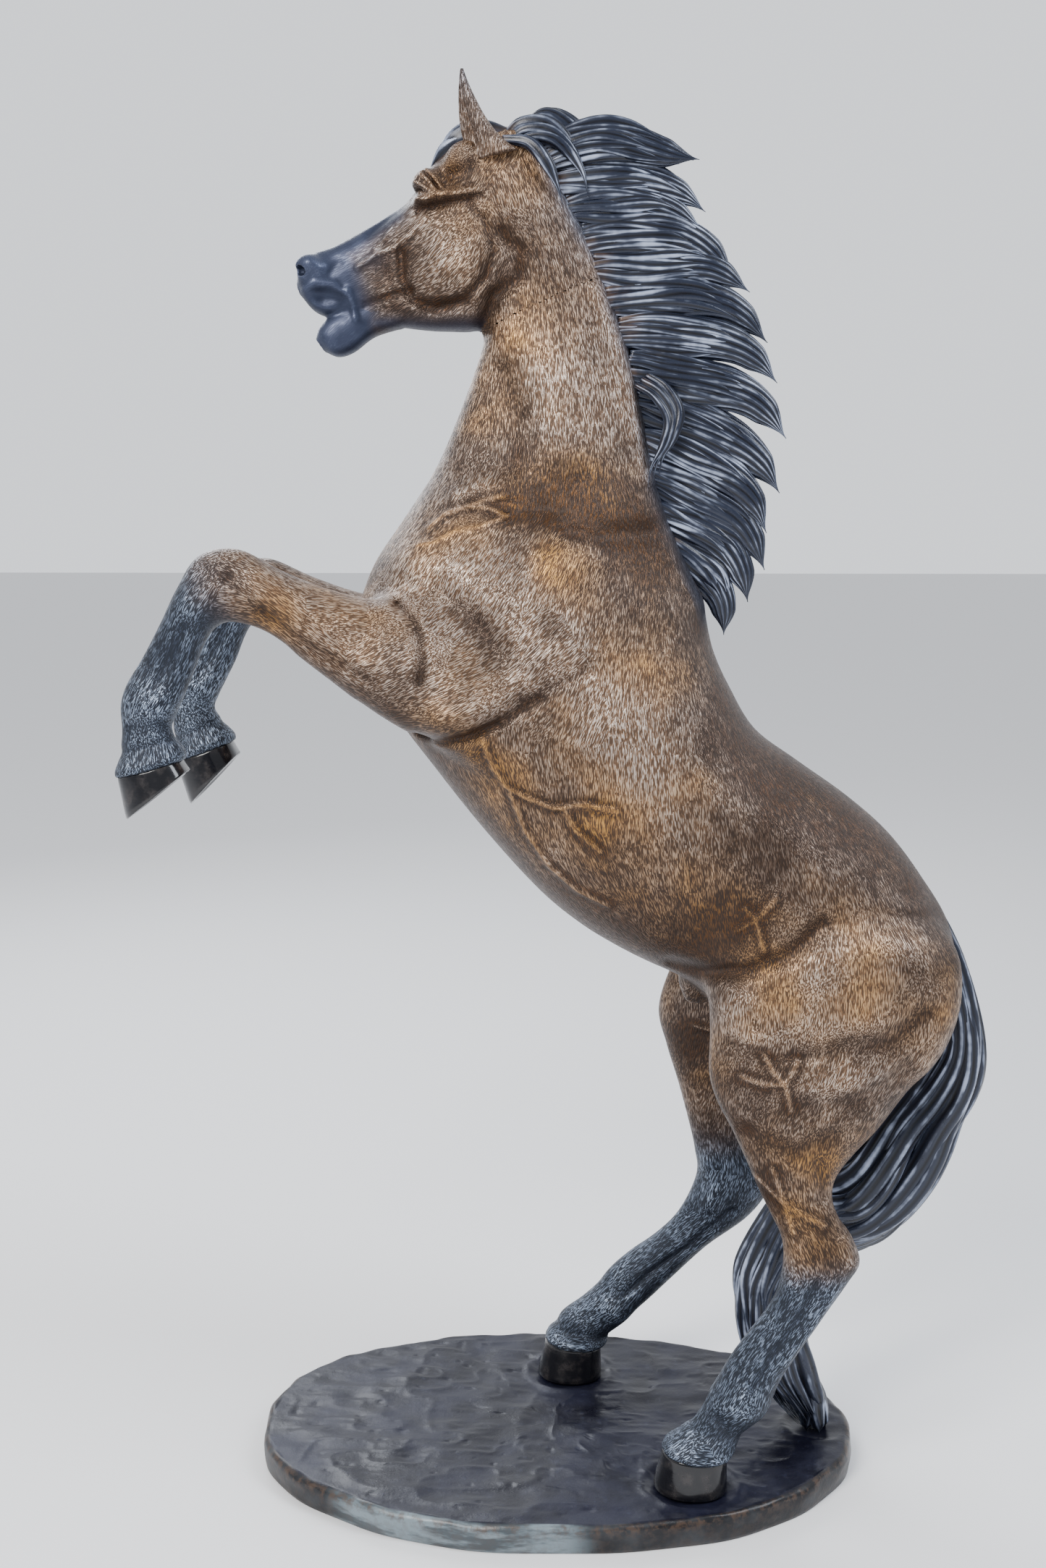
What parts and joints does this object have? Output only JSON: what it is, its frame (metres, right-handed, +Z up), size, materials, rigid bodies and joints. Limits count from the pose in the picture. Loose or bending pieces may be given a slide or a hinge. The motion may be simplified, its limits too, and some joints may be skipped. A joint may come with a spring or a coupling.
{
  "type": "bronze horse statue",
  "caption": "Rearing stallion in patinated bronze, welded up from hollow castings, standing on its hind hooves and tail tip on a low oval base.",
  "frame": {"origin": "centre of the oval base at its underside, on the ground", "axes": "+Z up, -X toward the head of the horse, +X toward its tail, -Y toward its left side"},
  "size_m": [1.4767, 0.68, 2.4],
  "materials": {
    "coat": "brown patina rubbed light on raised hair strokes",
    "stocking": "black patina with bright worn hair strokes",
    "hair": "black patina, waxed, worn bright on the ridges",
    "hoof": "polished black",
    "ground": "dark purplish brown satin patina",
    "frame_steel": "primer paint",
    "stainless": "plain stainless bar"
  },
  "bodies": {
    "root": {"head_casting": "coat", "left_ear": "coat", "right_ear": "coat", "neck_casting": "coat", "shoulder_casting": "coat", "barrel_casting": "coat", "hindquarter_casting": "coat", "left_forearm": "coat", "right_forearm": "coat", "left_gaskin": "coat", "right_gaskin": "coat", "left_fore_cannon": "stocking", "right_fore_cannon": "stocking", "left_hind_cannon": "stocking", "right_hind_cannon": "stocking", "forelock": "hair", "upper_mane": "hair", "middle_mane": "hair", "lower_mane": "hair", "upper_tail": "hair", "lower_tail": "hair", "left_fore_hoof": "hoof", "right_fore_hoof": "hoof", "left_hind_hoof": "hoof", "right_hind_hoof": "hoof", "base_casting": "ground", "base_frame": "frame_steel", "left_leg_bar": "stainless", "right_leg_bar": "stainless", "tail_stud": "stainless", "stud_washers": "stainless", "stud_nuts": "stainless"}
  },
  "joints": []
}
